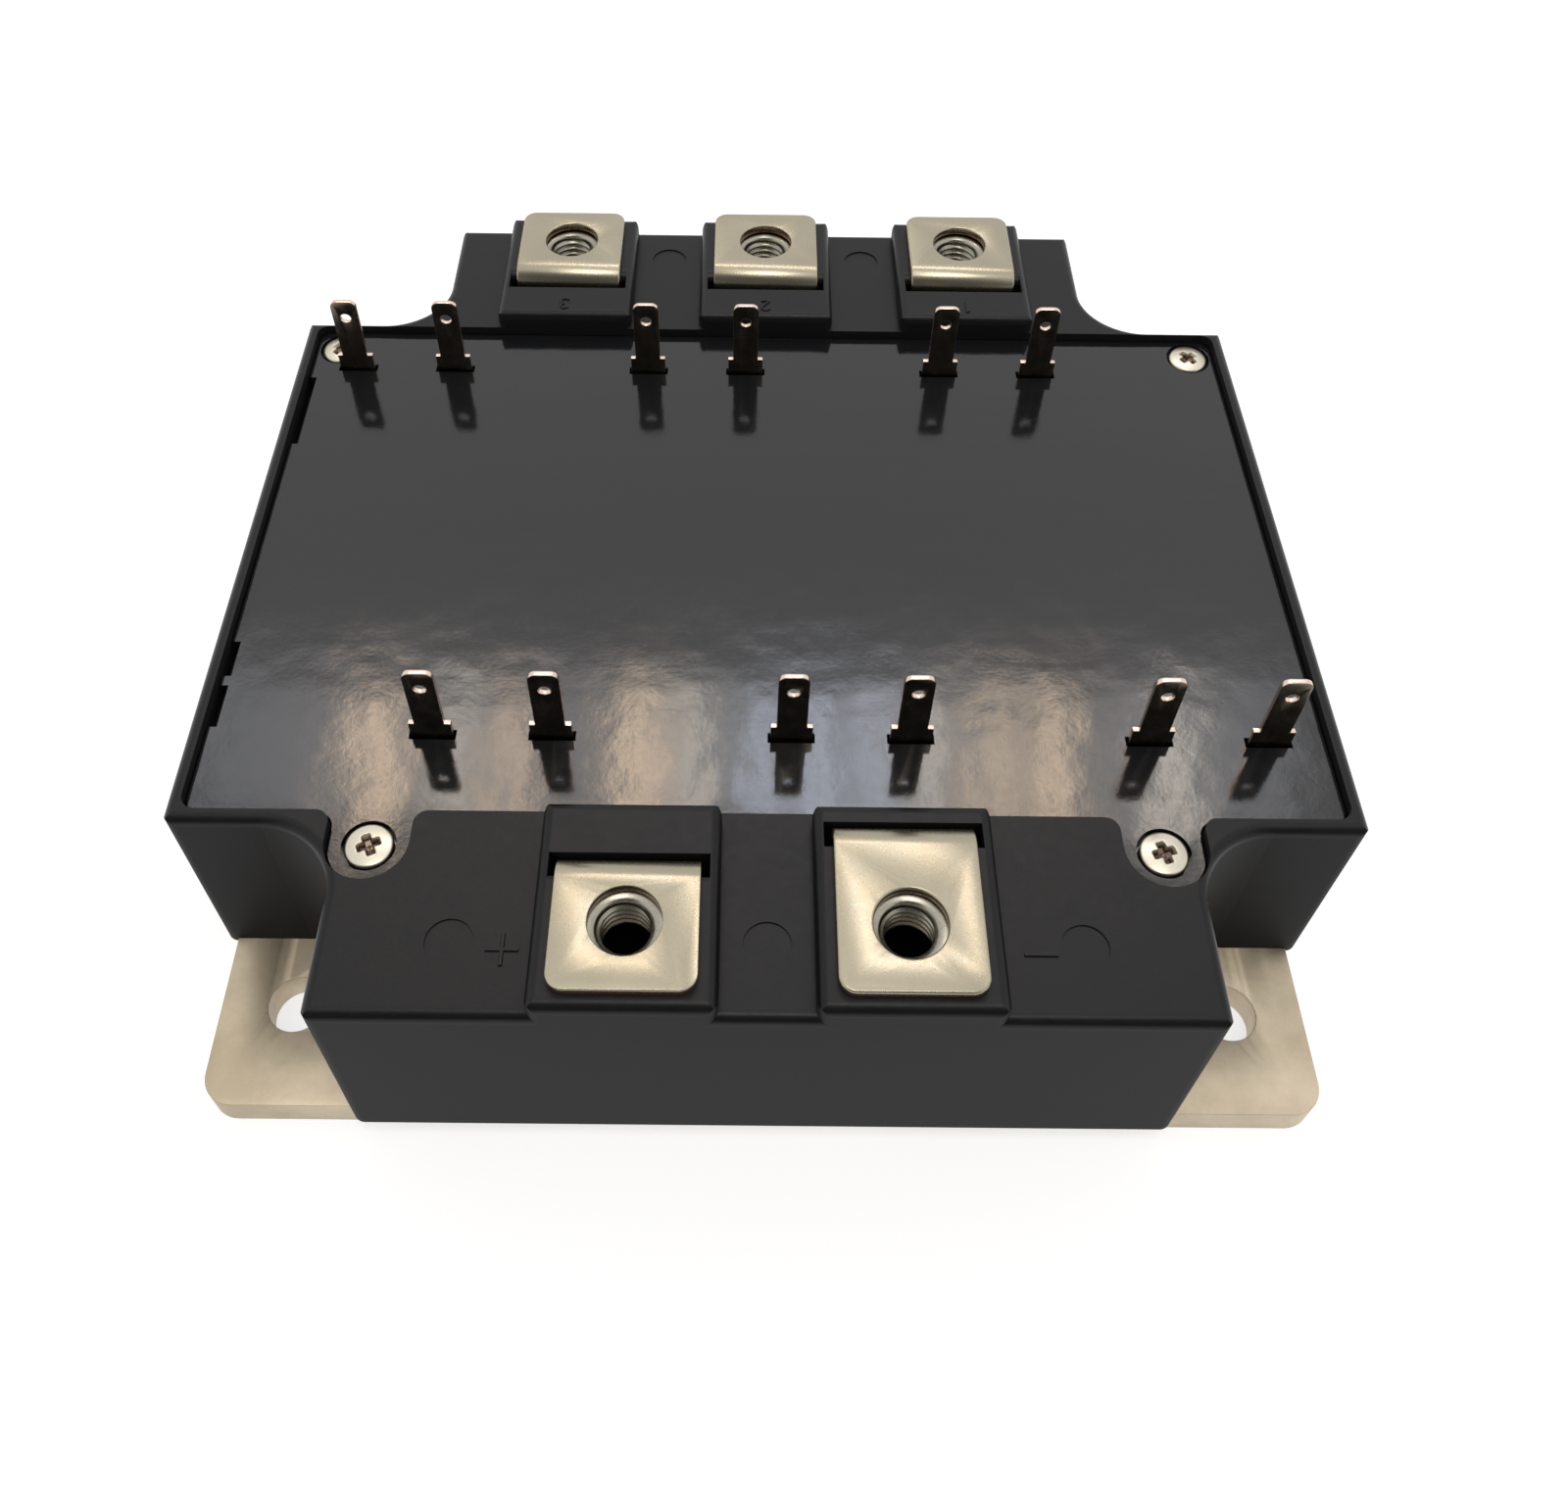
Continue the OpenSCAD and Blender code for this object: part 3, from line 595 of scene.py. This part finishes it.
def stroke(path, width, rise):
    """A low rounded ridge carried along a path on a level face.

    Across the path the profile is a flat top with sloping sides. Each profile stands square to
    the path's direction, taken between the neighbouring points, and both ends are closed.
    """
    path = np.array(path, float)
    ahead = np.gradient(path, axis=0)
    ahead /= np.linalg.norm(ahead, axis=1)[:, None]
    aside = np.stack([-ahead[:, 1], ahead[:, 0]], -1)
    profile = np.array([(-0.5, -stroke_sink), (-0.32, rise), (0, rise * 1.04), (0.32, rise),
                        (0.5, -stroke_sink)])
    across = path[:, None, :] + aside[:, None, :] * profile[None, :, :1] * width
    return np.concatenate([across, np.broadcast_to(profile[None, :, 1:], (len(path), 5, 1))], -1)


def arc(x, y, radius, start, end, count=14):
    """Points along an arc, from one angle to another in degrees."""
    a = np.radians(np.linspace(start, end, count))
    return np.stack([x + radius * np.cos(a), y + radius * np.sin(a)], -1)


def mark(name, paths, x, y, z, size):
    """Makes one raised mark from its strokes, drawn in a unit square and turned to read from behind."""
    points = []
    faces = []
    for path in paths:
        rows = stroke(np.array(path) * size, stroke_width * min(1, size / full_stroke_size), stroke_rise)
        start = sum(len(p) for p in points)
        count = len(rows)
        i, j = np.meshgrid(np.arange(count - 1), np.arange(4), indexing="ij")
        quads = np.stack([i * 5 + j, i * 5 + j + 1, (i + 1) * 5 + j + 1, (i + 1) * 5 + j], -1)
        quads = quads.reshape(-1, 4)
        first = i[:, 0] * 5
        under = np.stack([first + 4, first, first + 5, first + 9], -1)
        ends = [list(range(5)), [(count - 1) * 5 + k for k in range(4, -1, -1)]]
        faces += (quads + start).tolist() + (under + start).tolist()
        faces += [[k + start for k in end] for end in ends]
        points.append(rows.reshape(-1, 3))
    points = np.concatenate(points) * (-1, -1, 1) + (x, y, z)
    mesh = bpy.data.meshes.new(name)
    mesh.from_pydata(points.tolist(), [], faces)
    work = bmesh.new()
    work.from_mesh(mesh)
    bmesh.ops.recalc_face_normals(work, faces=work.faces)
    work.to_mesh(mesh)
    work.free()
    mesh.materials.append(case_plastic)
    piece = bpy.data.objects.new(name, mesh)
    bpy.context.scene.collection.objects.link(piece)
    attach(piece, "root")


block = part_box("case_frame")[1].z
ledge = block - block_rise
bar = np.linspace((-0.5, 0), (0.5, 0), 5)
post = np.linspace((0, -0.5), (0, 0.5), 5)
one = [np.concatenate([np.linspace((-0.2, 0.28), (0, 0.48), 4), np.linspace((0, 0.44), (0, -0.5), 6)])]
two = [np.concatenate([arc(0, 0.22, 0.27, 165, -40), np.linspace((0.16, 0.0), (-0.27, -0.46), 6)]),
       np.linspace((-0.3, -0.5), (0.3, -0.5), 4)]
three = [arc(0, 0.24, 0.25, 150, -80), arc(0, -0.24, 0.27, 80, -150)]
mark("mark_plus", [bar, post], plus_x, sign_y, ledge, sign_size)
mark("mark_minus", [bar], minus_x, sign_y, ledge, sign_size)
for digit, (drawing, strap) in enumerate([(one, "right"), (two, "middle"), (three, "left")]):
    mark(f"mark_{digit + 1}", drawing, node_axis("output_terminal_" + strap)[0], digit_y, block,
         digit_size)

# Substrates: three alumina tiles, each with copper bonded to both faces. The lower copper is
# soldered to the base plate, and the upper is etched into tracks.

phases = ("left", "middle", "right")
ceramic_grain = 0.12 * MM
copper_brush = 0.08 * MM

# Fired alumina: white, matt and faintly grainy.
alumina, tree, shader, place = surface_material("fired_alumina")
grain = add(tree, "TexNoise", {"Vector": place, "Scale": 1 / ceramic_grain, "Detail": 4.0})
tone = add(tree, "Mix", {0: grain.outputs[0], 6: linear("e4e2da"), 7: linear("f2f0ea")},
           data_type="RGBA")
relief = add(tree, "Bump", {"Height": grain.outputs[0], "Strength": 0.2, "Distance": 0.01 * MM})
shader.inputs["Roughness"].default_value = 0.6
shader.inputs["IOR"].default_value = 1.76
tree.links.new(tone.outputs[2], shader.inputs["Base Color"])
tree.links.new(relief.outputs[0], shader.inputs["Normal"])
dress([f"ceramic_{phase}" for phase in phases], alumina)

# Etched copper: salmon pink and satin, with fine rolling lines along Y and darker patches.
copper, tree, shader, place = surface_material("etched_copper")
rolled = add(tree, "Mapping", {"Vector": place,
                               "Scale": (1 / copper_brush, 0.04 / copper_brush, 1 / copper_brush)})
lines = add(tree, "TexNoise", {"Vector": rolled.outputs[0], "Scale": 1.0, "Detail": 3.0})
patches = add(tree, "TexNoise", {"Vector": place, "Scale": 1 / strap_cloud, "Detail": 4.0})
tone = add(tree, "Mix", {0: patches.outputs[0], 6: linear("b5694b"), 7: linear("d98c6c")},
           data_type="RGBA")
rough = add(tree, "MapRange", {"Value": lines.outputs[0], "To Min": 0.28, "To Max": 0.45})
relief = add(tree, "Bump", {"Height": lines.outputs[0], "Strength": 0.2, "Distance": 0.01 * MM})
shader.inputs["Metallic"].default_value = 1
tree.links.new(tone.outputs[2], shader.inputs["Base Color"])
tree.links.new(rough.outputs[0], shader.inputs["Roughness"])
tree.links.new(relief.outputs[0], shader.inputs["Normal"])
dress([f"{layer}_{phase}" for layer in ("lower_copper", "copper_tracks") for phase in phases], copper)

# Dies: thin squares sawn from a silicon wafer and soldered to the tracks. Two switches and two
# diodes serve each phase.

cell_pitch = 0.25 * MM

# Metallised silicon: grey and mirror-like, ruled by the faint grid of the cells below.
silicon, tree, shader, place = surface_material("metallised_silicon")
cells = add(tree, "TexVoronoi", {"Vector": place, "Scale": 1 / cell_pitch, "Randomness": 0.0},
            distance="CHEBYCHEV")
lined = add(tree, "MapRange", {"Value": cells.outputs["Distance"], "From Min": 0.4, "From Max": 0.5})
tone = add(tree, "Mix", {0: lined.outputs[0], 6: linear("9a9ea2"), 7: linear("5c6066")}, data_type="RGBA")
rough = add(tree, "MapRange", {"Value": lined.outputs[0], "To Min": 0.14, "To Max": 0.35})
shader.inputs["Metallic"].default_value = 1
tree.links.new(tone.outputs[2], shader.inputs["Base Color"])
tree.links.new(rough.outputs[0], shader.inputs["Roughness"])
dress([f"{die}_{phase}" for die in ("switch_dies", "diode_dies") for phase in phases], silicon)

# Bond wires: drawn aluminium, pressed down by ultrasound at both ends. They join the dies to the
# tracks and the tabs.

drawing_lines = 0.03 * MM

# Drawn aluminium: bright silver, with fine lines from the die it was drawn through.
wire_metal, tree, shader, place = surface_material("drawn_aluminium")
scored = add(tree, "TexNoise", {"Vector": place, "Scale": 1 / drawing_lines, "Detail": 2.0})
tone = add(tree, "Mix", {0: scored.outputs[0], 6: linear("c8cacc"), 7: linear("e2e4e6")}, data_type="RGBA")
rough = add(tree, "MapRange", {"Value": scored.outputs[0], "To Min": 0.22, "To Max": 0.36})
shader.inputs["Metallic"].default_value = 1
tree.links.new(tone.outputs[2], shader.inputs["Base Color"])
tree.links.new(rough.outputs[0], shader.inputs["Roughness"])
dress([f"bond_wires_{phase}" for phase in phases], wire_metal)
